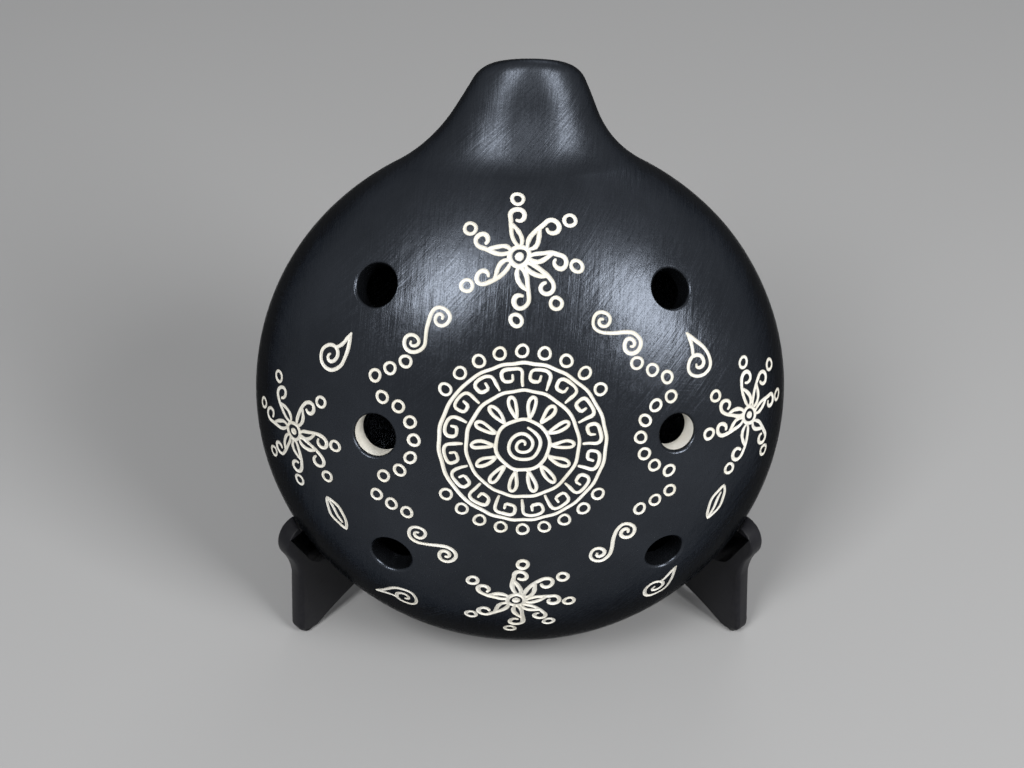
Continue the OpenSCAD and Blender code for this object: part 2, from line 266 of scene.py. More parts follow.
    def to_skin(self, flat_points, x, z, turn=0.0):
        """Points drawn on the plane that touches the body above (x, z), carried along that plane's normal
        onto the ellipsoid; gives (s, a) of each."""
        p, n, right, up = self.tangent_frame(x, z)
        u = flat_points[:, 0] * np.cos(turn) - flat_points[:, 1] * np.sin(turn)
        v = flat_points[:, 0] * np.sin(turn) + flat_points[:, 1] * np.cos(turn)
        q = p + u[:, None] * right + v[:, None] * up
        k = 1 / np.array([self.R, self.B, self.R]) ** 2
        A, Bq, C = (n * n * k).sum(), (q * n * k).sum(1), (q * q * k).sum(1) - 1
        q = q + ((-Bq + np.sqrt(np.maximum(Bq * Bq - A * C, 0))) / A)[:, None] * n
        s = self.R * (np.arcsin(np.clip(q[:, 2] / self.R, -1, 1)) + np.pi / 2)
        return s, np.arctan2(q[:, 0] * self.B, -q[:, 1] * self.R)


# ---------------------------------------------------------------- ornament
# curves in millimetres round a motif's own middle, each as (points, closed) or (points, closed, line share)

def polar(r, a, x=0.0, y=0.0):
    """Points at radius r and angle a round (x, y)."""
    return np.stack([x + r * np.cos(a), y + r * np.sin(a)], 1)


def ring(r, x=0.0, y=0.0, n=0):
    """Circle of radius r."""
    n = n or max(14, int(2 * np.pi * r / 0.55))
    return polar(r, np.arange(n) * 2 * np.pi / n, x, y), True


def ring_dot(x, y, size=1.0):
    """Small ring, scratched with a finer line."""
    return (*ring(1.3 * size, x, y, n=16), 0.8)


def ring_dots(x, y, r, start, end, count):
    """Ring dots along an arc of radius r, between two angles in degrees."""
    return [ring_dot(x + r * np.cos(a), y + r * np.sin(a)) for a in np.radians(np.linspace(start, end, count))]


def dot_row(count, gap, bow=0.0):
    """Ring dots in a bowed row."""
    return [ring_dot(gap * k, bow * k * k) for k in np.arange(count) - (count - 1) / 2]


def coil(r0, r1, turns):
    """Spiral whose radius grows evenly from r0 to r1 over the turns."""
    t = np.linspace(0, 1, int(abs(turns) * np.pi * (r0 + r1) / 0.55) + 8) ** 0.75
    return polar(r0 + (r1 - r0) * t, 2 * np.pi * turns * t), False


def petal(angle, r0, r1, half):
    """Closed teardrop from radius r0 to r1: its side offset is half times a sine, fuller near the tip."""
    n = int(2.4 * (r1 - r0) / STEP)
    t = np.arange(n) * 2 * np.pi / n
    along = (1 - np.cos(t)) / 2
    side = half * np.sin(t) * (0.35 + 0.65 * along)
    r = r0 + (r1 - r0) * along
    return polar(r, angle + side / r), True


def around(points, r0, angle, span, height):
    """Unit drawing (0..1 along, 0..1 up) laid on a ring: along becomes angle, up becomes radius."""
    return polar(r0 + height * points[:, 1], angle + span * points[:, 0])


def dense(points, step=STEP, closed=False):
    """Resamples a line evenly by its length."""
    p = np.vstack([points, points[:1]]) if closed else points
    d = np.concatenate([[0], np.cumsum(np.hypot(*np.diff(p, axis=0).T))])
    n = max(3, int(round(d[-1] / step)))
    t = np.linspace(0, d[-1], n + 1)[: n if closed else n + 1]
    return np.stack([np.interp(t, d, p[:, 0]), np.interp(t, d, p[:, 1])], 1)


def rounded(p, passes=2):
    """Cuts the corners of an open line by a fifth at each pass, so that it turns as a hand turns it."""
    for _ in range(passes):
        nxt = np.roll(p, -1, 0)
        q = np.stack([0.8 * p + 0.2 * nxt, 0.2 * p + 0.8 * nxt], 1).reshape(-1, 2)
        p = np.vstack([p[:1], q[:-2], p[-1:]])
    return p


def curve(a, b, c, n=10):
    """Line from a to c that bends towards b."""
    t = np.linspace(0, 1, n)[:, None]
    return (1 - t) ** 2 * np.array(a) + 2 * t * (1 - t) * np.array(b) + t ** 2 * np.array(c)


def curled_star(dots, size=1.0):
    """Star: a ringed dot, and for each ring dot (its angle in degrees) a leaf of two lines, one of which
    runs on and rolls up clockwise."""
    out = [ring(0.5 * size, n=10), ring(2.2 * size)]
    t = np.linspace(0, 1, 26)
    roll = polar(1.82 - 0.70 * t, np.radians(90 - 295 * t), 9.4)
    stem = np.vstack([curve((2.5, 0.3), (3.8, 2.0), roll[0])[:-1], roll]) * size
    side = curve((2.5, -0.3), (4.4, -1.7), (7.3, 1.5)) * size
    for k, dot in enumerate(np.radians(dots)):
        way = dot + 0.045 + 0.06 * np.sin(2.7 * k + 0.05 * dots[0])
        c, q = np.cos(way), np.sin(way)
        reach = 1 + 0.05 * np.sin(1.9 * k + 0.07 * dots[0])
        out += [(dense(line @ np.array([[c, q], [-q, c]]) * reach), False) for line in (stem, side)]
        out.append(ring_dot(13.5 * size * reach * np.cos(dot), 13.5 * size * reach * np.sin(dot), size))
    return out


def medallion(size=0.92, rays=14, hooks=16):
    """Sun wheel: an inner coil in a ring, a crown of leaf rays, a band of squared hooks between two rings,
    and ring dots above and below."""
    out = [coil(0.5, 4.7 * size, 2.2), ring(6.6 * size)]
    out += [petal(2 * np.pi * k / rays, 7.4 * size, 12.6 * size, 1.2 * size) for k in range(rays)]
    out += [ring(13.9 * size), ring(20.6 * size)]
    hook = np.array([[0.0, 0.0], [0.0, 1.0], [0.72, 1.0], [0.72, 0.32], [0.34, 0.32], [0.34, 0.66]])
    for k in range(hooks):
        line = around(dense(rounded(hook), 0.05), 15.0 * size, 2 * np.pi * k / hooks, 2 * np.pi / hooks, 4.4 * size)
        out.append((dense(line), False))
    return out + ring_dots(0, 0, 23.4 * size, 36, 144, 9) + ring_dots(0, 0, 23.4 * size, 216, 324, 9)


def volute(size=1.0):
    """Comma-shaped drop: a pointed tail whose under side rolls up into a coil, and an upper side that
    meets it."""
    t = np.linspace(0, 1, 46)
    roll = polar(3.7 * (1 - t) ** 0.9 + 0.55, np.radians(-40 - 560 * t))
    tip = (7.4, 4.6)
    under = np.vstack([curve(tip, (5.0, -0.6), roll[0])[:-1], roll])
    return [(dense(under * size), False), (dense(curve(tip, (3.3, 1.5), roll[22]) * size), False)]


def scroll(size=1.0):
    """Two coils turned the same way, joined by the straight line that touches both."""
    outer, apart = 2.7 * size, 4.3 * size
    lean = np.arcsin(outer / apart)
    t = np.linspace(0, 1, 40)
    left = polar(0.4 * size + (outer - 0.4 * size) * t ** 0.85, lean - np.pi / 2 - 3 * np.pi * (1 - t), -apart)
    return [(dense(np.vstack([left, -left[::-1]])), False)]


def leaf(size=1.0):
    """Pointed leaf with a rib."""
    t = np.linspace(0, 1, 24)
    edge = 1.9 * size * np.sin(np.pi * t) ** 0.8
    along = (t - 0.5) * 9 * size
    upper, lower = np.stack([along, edge], 1), np.stack([along[-2:0:-1], -edge[-2:0:-1]], 1)
    rib = np.stack([along[2:-5], 0 * along[2:-5]], 1)
    return [(dense(np.vstack([upper, lower]), closed=True), True), (dense(rib), False)]


def ornament():
    """Every scratched line as (points, closed, motif middle x and z, turn, share of the usual line width)."""
    plan = [
        (curled_star((92, 37, -9, -52, -93, -151, 149)), -0.3, 42.6, 0.0, 1.24),
        (curled_star((115, 46, -6, -46, -91, -140, 164), 0.94), -53.3, -1.6, 0.0, 1.0),
        (curled_star((96, 50, 9, -57, -114, -171, 147), 0.95), 53.8, 2.2, 0.0, 1.08),
        (curled_star((83, 36, -5, -51, -97, -147, 148), 0.95), -0.95, -42.0, 0.0, 1.28),
        (medallion(), 0.4, 1.2, 0.0, 0.94),
        (ring_dots(0, 0, 9.8, -78, 78, 7), -33.6, 1.3, 0.0, 1.0),
        (ring_dots(0, 0, 9.2, 102, 258, 7), 36.1, 1.7, 0.0, 1.0),
        (scroll(0.98), -21.0, 26.6, 0.75, 1.0),
        (scroll(0.98), 21.6, 26.0, 2.4, 1.0),
        (scroll(0.98), -20.6, -25.8, -0.75, 1.0),
        (scroll(0.98), 21.6, -25.4, 3.9, 1.0),
        (volute(0.9), -28.1, -44.6, 2.6, 1.0),
        (volute(0.9), 32.9, -42.3, 0.55, 1.0),
        (volute(0.86), 40.4, 17.2, 1.3, 1.0),
        (volute(0.86), -43.4, 18.6, 0.3, 1.0),
        (leaf(), -43.6, -21.0, -1.15, 0.9),
        (leaf(), 46.4, -18.6, 1.25, 0.9),
        (dot_row(3, 4.1, -0.10), -29.6, 17.6, 0.5, 1.0),
        (dot_row(3, 4.1, -0.10), 29.8, 17.2, -0.5, 1.0),
        (dot_row(3, 4.1, 0.10), -30.0, -15.4, -0.5, 1.0),
        (dot_row(3, 4.1, 0.10), 31.2, -14.6, 0.5, 1.0),
    ]
    return [(points, closed, x, z, turn, bold * (finer[0] if finer else 1))
            for lines, x, z, turn, bold in plan for points, closed, *finer in lines]


def stroke_edges(p, closed, half):
    """The two sides of a line of points, offset by half (one value per point), as closed loops; an open line
    gets round ends."""
    d = np.roll(p, -1, 0) - np.roll(p, 1, 0) if closed else np.gradient(p, axis=0)
    d /= np.maximum(np.linalg.norm(d, axis=1, keepdims=True), 1e-9)
    n = np.stack([-d[:, 1], d[:, 0]], 1) * half[:, None]
    if closed:
        return [p + n, p - n]
    t = np.linspace(0, np.pi, 7)[1:-1, None]
    cap_end = p[-1] + n[-1] * np.cos(t) + d[-1] * half[-1] * np.sin(t)
    cap_start = p[0] - n[0] * np.cos(t) - d[0] * half[0] * np.sin(t)
    return [np.vstack([p + n, cap_end, (p - n)[::-1], cap_start])]


# ---------------------------------------------------------------- mesh helpers

def grid_faces(rows, cols, first=0, closed=False):
    """Quads of a grid whose vertices run row by row."""
    i = np.arange(rows - 1)[:, None]
    j = np.arange(cols if closed else cols - 1)[None, :]
    k = (j + 1) % cols
    quads = np.stack([i * cols + j, i * cols + k, (i + 1) * cols + k, (i + 1) * cols + j], -1)
    return quads.reshape(-1, 4) + first


def cap_faces(first, middle, n, up):
    """Triangles from a ring of n vertices to its middle vertex, facing up or down its axis."""
    j, k = first + np.arange(n), first + (np.arange(n) + 1) % n
    return np.stack([j, k, np.full(n, middle)] if up else [k, j, np.full(n, middle)], 1)


def new_mesh_object(name, points, faces, materials):
    """Mesh object from a vertex array and a list of (face array, slot number)."""
    mesh = bpy.data.meshes.new(name)
    mesh.from_pydata(points.tolist(), [], [f for block, _ in faces for f in block.tolist()])
    for m in materials:
        mesh.materials.append(m)
    slots = np.concatenate([np.full(len(block), slot, np.int32) for block, slot in faces])
    mesh.polygons.foreach_set("material_index", slots)
    mesh.polygons.foreach_set("use_smooth", np.ones(len(slots), bool))
    obj = bpy.data.objects.new(name, mesh)
    bpy.context.scene.collection.objects.link(obj)
    return obj


def edited(obj, *steps):
    """Runs each step on the object's mesh, opened for editing."""
    bm = bmesh.new()
    bm.from_mesh(obj.data)
    for step in steps:
        step(bm)
    bm.to_mesh(obj.data)
    bm.free()
    return obj


def merge_doubles(bm):
    bmesh.ops.remove_doubles(bm, verts=bm.verts, dist=2e-6)


def drop_flat_faces(bm):
    bmesh.ops.dissolve_degenerate(bm, edges=bm.edges, dist=1e-7)


def face_outward(bm):
    bmesh.ops.recalc_face_normals(bm, faces=bm.faces)


def turned_solid(profile, n):
    """Closed solid turned from (radius, height) points about z, the first and last on the axis."""
    t = np.arange(n) * 2 * np.pi / n
    mid = profile[1:-1]
    heights = np.repeat(mid[:, None, 1], n, 1)
    rings = np.stack([mid[:, None, 0] * np.cos(t), mid[:, None, 0] * np.sin(t), heights], -1).reshape(-1, 3)
    points = np.vstack([rings, [[0, 0, profile[0][1]], [0, 0, profile[-1][1]]]])
    low, high = cap_faces(0, len(rings), n, False), cap_faces((len(mid) - 1) * n, len(rings) + 1, n, True)
    return points, grid_faces(len(mid), n, closed=True), np.vstack([low, high])


def cut(obj, cutter, solver="MANIFOLD"):
    """Takes the cutter's solid out of obj; the cut keeps the cutter's slot numbers. A solver that leaves
    almost nothing has failed, and the exact one takes its place."""
    mod = obj.modifiers.new("cut", "BOOLEAN")
    mod.operation, mod.object, mod.solver = "DIFFERENCE", cutter, solver
    mod.material_mode = "INDEX"
    before = len(obj.data.polygons)
    graph = bpy.context.evaluated_depsgraph_get()
    graph.update()
    result = bpy.data.meshes.new_from_object(obj.evaluated_get(graph))
    obj.modifiers.clear()
    if len(result.polygons) < before * 0.2:
        if solver == "EXACT":
            raise RuntimeError("cut of " + obj.name + " by " + cutter.name + " gave no solid")
        bpy.data.meshes.remove(result)
        return cut(obj, cutter, "EXACT")
    old, name = obj.data, obj.data.name
    obj.data = result
    bpy.data.meshes.remove(old)
    result.name = name
    return obj


def cut_all(obj, cutters):
    """Cuts each solid out of obj in turn, then takes the cutters away."""
    for cutter in cutters:
        cut(obj, cutter)
    for cutter in cutters:
        mesh = cutter.data
        bpy.data.objects.remove(cutter)
        bpy.data.meshes.remove(mesh)


def read(items, attribute, width, kind):
    """One attribute of a mesh's vertices, corners or faces as an array of rows."""
    out = np.empty(len(items) * width, kind)
    items.foreach_get(attribute, out)
    return out.reshape(-1, width) if width > 1 else out


def shade(obj, form, skin_slot=0, tolerance=0.02, angle=35):
    """Corner normals: true normals of the form where a face lies on the outer skin and has its slot,
    smoothed ones up to the angle elsewhere."""
    mesh = obj.data
    mesh.polygons.foreach_set("use_smooth", np.ones(len(mesh.polygons), bool))
    mesh.set_sharp_from_angle(angle=np.radians(angle))
    corner = read(mesh.corner_normals, "vector", 3, np.float32).astype(float)
    local = form.unplace(read(mesh.vertices, "co", 3, float))
    s, a = form_coordinates(form, local)
    on = np.linalg.norm(form.skin(s, a) - local, axis=1) < tolerance
    true = form.turn(form.normal(s, a))
    vertex = read(mesh.loops, "vertex_index", 1, np.int32)
    start = read(mesh.polygons, "loop_start", 1, np.int32)
    total = read(mesh.polygons, "loop_total", 1, np.int32)
    slot = read(mesh.polygons, "material_index", 1, np.int32)
    face_normal = read(mesh.polygons, "normal", 3, np.float32)
    face_of = np.repeat(np.arange(len(start)), total)
    all_on = np.minimum.reduceat(on[vertex].astype(np.int8), start) > 0
    agree = (true[vertex] * face_normal[face_of]).sum(1) > 0.8
    use = all_on[face_of] & agree & (slot[face_of] == skin_slot)
    corner[use] = true[vertex][use]
    corner /= np.maximum(np.linalg.norm(corner, axis=1, keepdims=True), 1e-12)
    mesh.normals_split_custom_set(corner.tolist())


def form_coordinates(form, p):
    """(s, a) of points near the skin: s by matching half width and height on a fine table of the path, a
    from the oval's own angle, then three Gauss-Newton steps of both towards the point."""
    end, h = form.s[4] - 0.2, 1e-3
    table = np.linspace(0, end, 3400)
    w, z = form.path(table)
    e, flat = form.ease(z)
    s = np.empty(len(p))
    for k in range(0, len(p), 4000):
        q = p[k:k + 4000]
        zz = z[None, :] - q[:, 1:2] * (np.tan(form.slope) * e)[None, :]
        own = np.hypot(q[:, 0:1] - form.shift * e[None, :], q[:, 1:2] / flat[None, :])
        s[k:k + 4000] = table[np.argmin((own - w[None, :]) ** 2 + (q[:, 2:3] - zz) ** 2, 1)]
    a = np.arctan2(p[:, 0] - form.shift * np.interp(s, table, e), -p[:, 1] / np.interp(s, table, flat))
    for _ in range(3):
        ds, da = (slope / (2 * h) for slope in form.slopes(s, a, h))
        d = p - form.skin(s, a)
        m11, m12, m22 = (ds * ds).sum(1), (ds * da).sum(1), (da * da).sum(1) + 1e-9
        b1, b2 = (ds * d).sum(1), (da * d).sum(1)
        det = m11 * m22 - m12 * m12 + 1e-12
        s = np.clip(s + np.clip((m22 * b1 - m12 * b2) / det, -0.5, 0.5), 0, end)
        a = a + np.clip((m11 * b2 - m12 * b1) / det, -0.2, 0.2)
    return s, a


# ---------------------------------------------------------------- the shells, the blowing end and their cuts

def nearest(points, samples, widths, reach=3.0, band=1.5):
    """Distance of each point to the nearest sample, and that sample's half width, worked out band by band of
    height; a point with no sample within reach stays far off."""
    d, w = np.full(len(points), 99.0), np.ones(len(points))
    low, high = points[:, 2].min(), points[:, 2].max()
    for z in np.arange(low - 1e-6, high + band, band):
        k = np.where((points[:, 2] >= z) & (points[:, 2] < z + band))[0]
        m = np.where((samples[:, 2] > z - reach) & (samples[:, 2] < z + band + reach))[0]
        if len(k) == 0 or len(m) == 0:
            continue
        q = points[k].astype(np.float32)[:, None, :] - samples[m].astype(np.float32)[None, :, :]
        dist = (q * q).sum(-1)
        j = dist.argmin(1)
        d[k] = np.sqrt(dist[np.arange(len(k)), j])
        w[k] = widths[m][j]
    return d, w


def stroke_widths(n, closed, half, wander, rng):
    """Half width of a scratched line at each of its n points: it wanders, and an open line starts thin."""
    drift = np.interp(np.arange(n) / max(n, 1) * 9, np.arange(11), rng.uniform(-1, 1, 11))
    if closed:
        return half * (1 + wander * (drift * np.sin(np.pi * (np.arange(n) / max(n, 1)))))
    ends = np.minimum(np.arange(n), np.arange(n)[::-1])
    return half * (1 + wander * drift) * (0.72 + 0.28 * np.clip(ends / 3, 0, 1))


def scratched_patch(form, orn, rows, cols):
    """The part of the front skin that carries ornament: the (s, a) rectangle is triangulated with the sides
    of every scratched line as edges, then each vertex inside a line sinks along the normal. Across a line
    the depth grows from 0.96 of its half width inwards and is full at 0.54."""
    half_line = orn.line / MM / 2
    rng = np.random.default_rng(7)
    loops, centres, widths = [], [], []
    for p, closed, x, z, turn, bold in ornament():
        half = stroke_widths(len(p), closed, half_line * bold, orn.wander, rng)
        p = p + 0.10 * np.stack([np.sin(1.1 * p[:, 1] + x), np.sin(1.3 * p[:, 0] + z)], 1)
        centres.append(form.skin(*form.to_skin(p, x, z, turn)))
        widths.append(half)
        loops += [form.to_skin(edge, x, z, turn) for part in (1.0, 0.5)
                  for edge in stroke_edges(p, closed, half * part)]
    centre, width = np.vstack(centres), np.concatenate(widths)
    S, A = np.meshgrid(rows, cols, indexing="ij")
    near, _ = nearest(form.skin(S.ravel(), A.ravel()), centre, width)
    border_only = np.ones(S.shape, bool)
    border_only[1:-1, 1:-1] = False
    keep = border_only.ravel() | (near > half_line + 0.45)
    index = np.cumsum(keep) - 1
    k = np.arange(S.size).reshape(S.shape)
    border = np.concatenate([k[0, :-1], k[:-1, -1], k[-1, :0:-1], k[:0:-1, 0]])
    edges = [np.stack([index[border], index[np.roll(border, -1)]], 1)]
    points = [np.stack([A.ravel()[keep] * form.R, S.ravel()[keep]], 1)]
    first = int(keep.sum())
    for s, a in loops:
        points.append(np.stack([a * form.R, s], 1))
        j = first + np.arange(len(s))
        edges.append(np.stack([j, np.roll(j, -1)], 1))
        first += len(s)
    corners = [tuple(q) for q in np.vstack(points).tolist()]
    verts, _, faces, _, _, _ = delaunay_2d_cdt(corners, [tuple(e) for e in np.vstack(edges).tolist()], [], 0,
                                               1e-5, False)
    uv = np.array([tuple(v) for v in verts])
    faces = np.array([f for f in faces if len(f) == 3])
    s, a = uv[:, 1], uv[:, 0] / form.R
    p, n = form.skin(s, a), form.normal(s, a)
    d, w = nearest(p, centre, width)
    depth = np.clip((0.96 - d / np.maximum(w, 1e-6)) / 0.42, 0, 1)
    depth = orn.depth / MM * (depth * (2 - depth))
    in_line = depth[faces].max(1) > 0.03
    return p - n * depth[:, None], faces[~in_line], faces[in_line]


def inner_path(form, rows):
    """Half width and height of the chamber's wall, row by row, up to the joint."""
    ri = form.R - form.wall
    top = np.arcsin(form.joint[1] / ri)
    t = -np.pi / 2 + (top + np.pi / 2) * rows / rows[-1]
    return ri * np.cos(t), ri * np.sin(t)


def shell_solid(form, name, rows, angles, materials, patch=None):
    """Half shell as a closed solid: outer skin, chamber wall, the seam faces at its two sides and the rim
    under the blowing end. patch, if given, is (first row, end row, first column, end column) of the outer
    skin and the (points, coated faces, line faces) that fill it."""
    S, A = np.meshgrid(rows, angles, indexing="ij")
    w, z = inner_path(form, rows)
    flat = (form.B - form.wall) / (form.R - form.wall)
    inner = np.stack([w[:, None] * np.sin(angles), -w[:, None] * flat * np.cos(angles),
                      np.repeat(z[:, None], len(angles), 1)], -1)
    nr, nc = S.shape
    n = nr * nc
    k = lambda i, j: i * nc + j
    i, j = np.arange(nr - 1), np.arange(nc - 1)
    seam_a = np.stack([k(i + 1, 0), n + k(i + 1, 0), n + k(i, 0), k(i, 0)], 1)
    seam_b = np.stack([k(i, nc - 1), n + k(i, nc - 1), n + k(i + 1, nc - 1), k(i + 1, nc - 1)], 1)
    top = np.stack([k(nr - 1, j), k(nr - 1, j + 1), n + k(nr - 1, j + 1), n + k(nr - 1, j)], 1)
    points = np.vstack([form.skin(S, A).reshape(-1, 3), inner.reshape(-1, 3)])
    outer = grid_faces(nr, nc)
    blocks = [(grid_faces(nr, nc, n)[:, ::-1], 0), (seam_a, 1), (seam_b, 1), (top, 1)]
    if patch is None:
        blocks.append((outer, 0))
    else:
        (r0, r1, c0, c1), (filling, coat, lines) = patch
        row, column = np.divmod(np.arange(len(outer)), nc - 1)
        plain = ~((row >= r0) & (row < r1) & (column >= c0) & (column < c1))
        blocks += [(outer[plain], 0), (coat + len(points), 0), (lines + len(points), 1)]
        points = np.vstack([points, filling])
    return edited(new_mesh_object(name, form.place(points), blocks, materials), merge_doubles, drop_flat_faces)


# across, up and diameter of each finger hole, and the slot of its bore: 0 where the coat ran in, 1 where the
# pale clay shows
FINGER_HOLES = ((-32.8, 35.2, 10.0, 0), (34.1, 34.3, 9.2, 0), (-33.6, 1.3, 10.2, 1),
                (36.1, 1.7, 8.8, 1), (-30.7, -30.5, 10.0, 0), (34.3, -30.4, 9.4, 0))


def bore_cutter(form, x, z, d, slot, materials, name):
    """Drill turned from a profile: a straight bore that opens by a quarter-round rim at the surface."""
    p, n, right, up = form.tangent_frame(x, z)
    r, q = d / 2, form.rim
    t = np.linspace(0, np.pi / 2, 7)
    arc = np.stack([r + q - q * np.cos(t), -q - 0.22 + q * np.sin(t)], 1)
    wide = r + q + 0.35
    profile = np.vstack([[[0, -BORE_DEPTH], [r, -BORE_DEPTH], [r, -6]], arc, [[wide, -0.08], [wide, 6], [0, 6]]])
    local, quads, caps = turned_solid(profile, BORE_SIDES)
    world = p + local[:, 0:1] * right + local[:, 1:2] * up + local[:, 2:3] * n
    bore = np.repeat(np.arange(len(profile) - 3), BORE_SIDES) < 2
    blocks = [(quads[~bore], 0), (quads[bore], 1), (caps, 1)] if slot else [(quads, 0), (caps, 0)]
    return edited(new_mesh_object(name, form.place(world), blocks, materials), face_outward)


def prism(form, name, outline, slot, materials, drift=0.0):
    """Closed bar across the ocarina: an outline in (y, z) carried from side to side along x, whose sides
    drift to the right above the joint."""
    m = len(outline)
    middle = drift * (outline[:, 1] - form.joint[1])
    points = np.vstack([np.column_stack([middle + side, outline]) for side in (-WINDOW_HALF, WINDOW_HALF)])
    j = np.arange(m)
    sides = np.stack([j, (j + 1) % m, m + (j + 1) % m, m + j], 1)
    blocks = [(sides, slot), (np.array([j[::-1], m + j]), slot)]
    return edited(new_mesh_object(name, form.place(points), blocks, materials), face_outward)


def window_outline(form):
    """The (y, z) outline of the window and its ramp, as the solid has it, and the windway's lean."""
    jz = form.joint[1]
    lean = np.arctan2(form.windway_out - form.windway_in, form.H - jz)
    ez, ey = jz - EDGE_BELOW, form.windway_out + EDGE_BELOW * np.tan(lean)
    ramp = lean + RAMP_TILT
    outline = [[(form.B - form.wall) * 0.16, jz + 1], [ey, ez],
               [ey + RAMP_LENGTH * np.sin(ramp), ez - RAMP_LENGTH * np.cos(ramp)], [ey + WINDOW_OUT, jz + 1]]
    return np.array(outline), lean


def windway_outline(form):
    """The (y, z) outline of the slot from above the lips down into the window."""
    lean = window_outline(form)[1]
    along, across = np.array([np.sin(lean), -np.cos(lean)]), np.array([np.cos(lean), np.sin(lean)])
    mouth = np.array([form.windway_in, form.H])
    return np.array([mouth + far * along + side * across for far, side in (
        (-WINDWAY_START, -WINDWAY_HALF), (-WINDWAY_START, WINDWAY_HALF),
        (WINDWAY_LENGTH, WINDWAY_HALF), (WINDWAY_LENGTH, -WINDWAY_HALF))])


def neck_solid(form, materials):
    """Neck and blowing end as one closed solid: rings of the skin from the joint to the domed end, closed
    by fans at both ends."""
    joint, neck, side, lip, end = form.s
    s = np.concatenate([np.linspace(joint, neck, 22), np.linspace(neck, side, 8)[1:],
                        np.linspace(side, lip, 14)[1:], np.linspace(lip, end - 0.4, 9)[1:]])
    S, A = np.meshgrid(s, np.arange(COLUMNS) * 2 * np.pi / COLUMNS, indexing="ij")
    points = form.skin(S, A).reshape(-1, 3)
    base, top = points[:COLUMNS].mean(0), form.skin(form.s[4:], np.zeros(1))[0]
    n = len(points)
    caps = np.vstack([cap_faces(0, n, COLUMNS, False), cap_faces(n - COLUMNS, n + 1, COLUMNS, True)])
    blocks = [(grid_faces(len(s), COLUMNS, closed=True), 0), (caps, 0)]
    return new_mesh_object("blowing_end_coated", form.place(np.vstack([points, [base, top]])), blocks, materials)


# ---------------------------------------------------------------- material building

class Wires:
    """Short hands for wiring one node tree."""

    def __init__(self, tree):
        self.tree = tree

    def add(self, kind, **values):
        """New node; each value goes to the node's own property of that name, or else to its input."""
        node = self.tree.nodes.new(kind)
        for key, value in values.items():
            if hasattr(node, key):
                setattr(node, key, value)
            else:
                node.inputs[key.replace("_", " ")].default_value = value
        return node

    def link(self, a, b):
        self.tree.links.new(a, b)

    def feed(self, value, socket):
        """Sets a plain number or colour on a socket, or links a wire to it."""
        if isinstance(value, (int, float)):
            socket.default_value = value
        elif isinstance(value, tuple):
            socket.default_value = (*value, 1)
        else:
            self.link(value, socket)

    def coords(self):
        return self.add("ShaderNodeTexCoord").outputs["Object"]

    def scaled(self, coords, factor):
        node = self.add("ShaderNodeVectorMath", operation="SCALE")
        self.link(coords, node.inputs[0])
        self.feed(factor, node.inputs["Scale"])
        return node.outputs[0]

    def math(self, operation, *values, clamp=False):
        node = self.add("ShaderNodeMath", operation=operation, use_clamp=clamp)
        for value, socket in zip(values, node.inputs):
            self.feed(value, socket)
        return node.outputs[0]

    def ramp(self, value, low, high, to_low=0.0, to_high=1.0):
        node = self.add("ShaderNodeMapRange", From_Min=low, From_Max=high, To_Min=to_low, To_Max=to_high)
        self.link(value, node.inputs["Value"])
        return node.outputs["Result"]

    def mix(self, part, a, b):
        """Colour a, passing into b as the part goes from 0 to 1."""
        node = self.add("ShaderNodeMix", data_type="RGBA")
        for value, socket in ((part, node.inputs[0]), (a, node.inputs[6]), (b, node.inputs[7])):
            self.feed(value, socket)
        return node.outputs[2]

    def noise(self, coords, detail, rough, distortion=0.0):
        node = self.add("ShaderNodeTexNoise", Scale=1.0, Detail=detail, Roughness=rough, Distortion=distortion)
        self.link(coords, node.inputs["Vector"])
        return node.outputs["Fac"]

    def bump(self, height, strength, distance, after=None):
        node = self.add("ShaderNodeBump", Strength=strength, Distance=distance)
        self.link(height, node.inputs["Height"])
        if after is not None:
            self.link(after, node.inputs["Normal"])
        return node.outputs[0]

    def seen(self):
        """1 for the rays that show the background: from the camera, by reflection or through glass."""
        path = self.add("ShaderNodeLightPath").outputs
        direct = self.math("MAXIMUM", path["Is Camera Ray"], path["Is Glossy Ray"])
        return self.math("MAXIMUM", direct, path["Is Transmission Ray"])


def group(name, inputs, outputs):
    """Empty shader node group with number sockets: inputs by name and default, outputs by name."""
    tree = bpy.data.node_groups.new(name, "ShaderNodeTree")
    for label, value in inputs.items():
        socket = tree.interface.new_socket(name=label, in_out="INPUT", socket_type="NodeSocketFloat")
        socket.default_value = value
    for label in outputs:
        tree.interface.new_socket(name=label, in_out="OUTPUT", socket_type="NodeSocketFloat")
    return tree, Wires(tree), tree.nodes.new("NodeGroupInput").outputs, tree.nodes.new("NodeGroupOutput").inputs


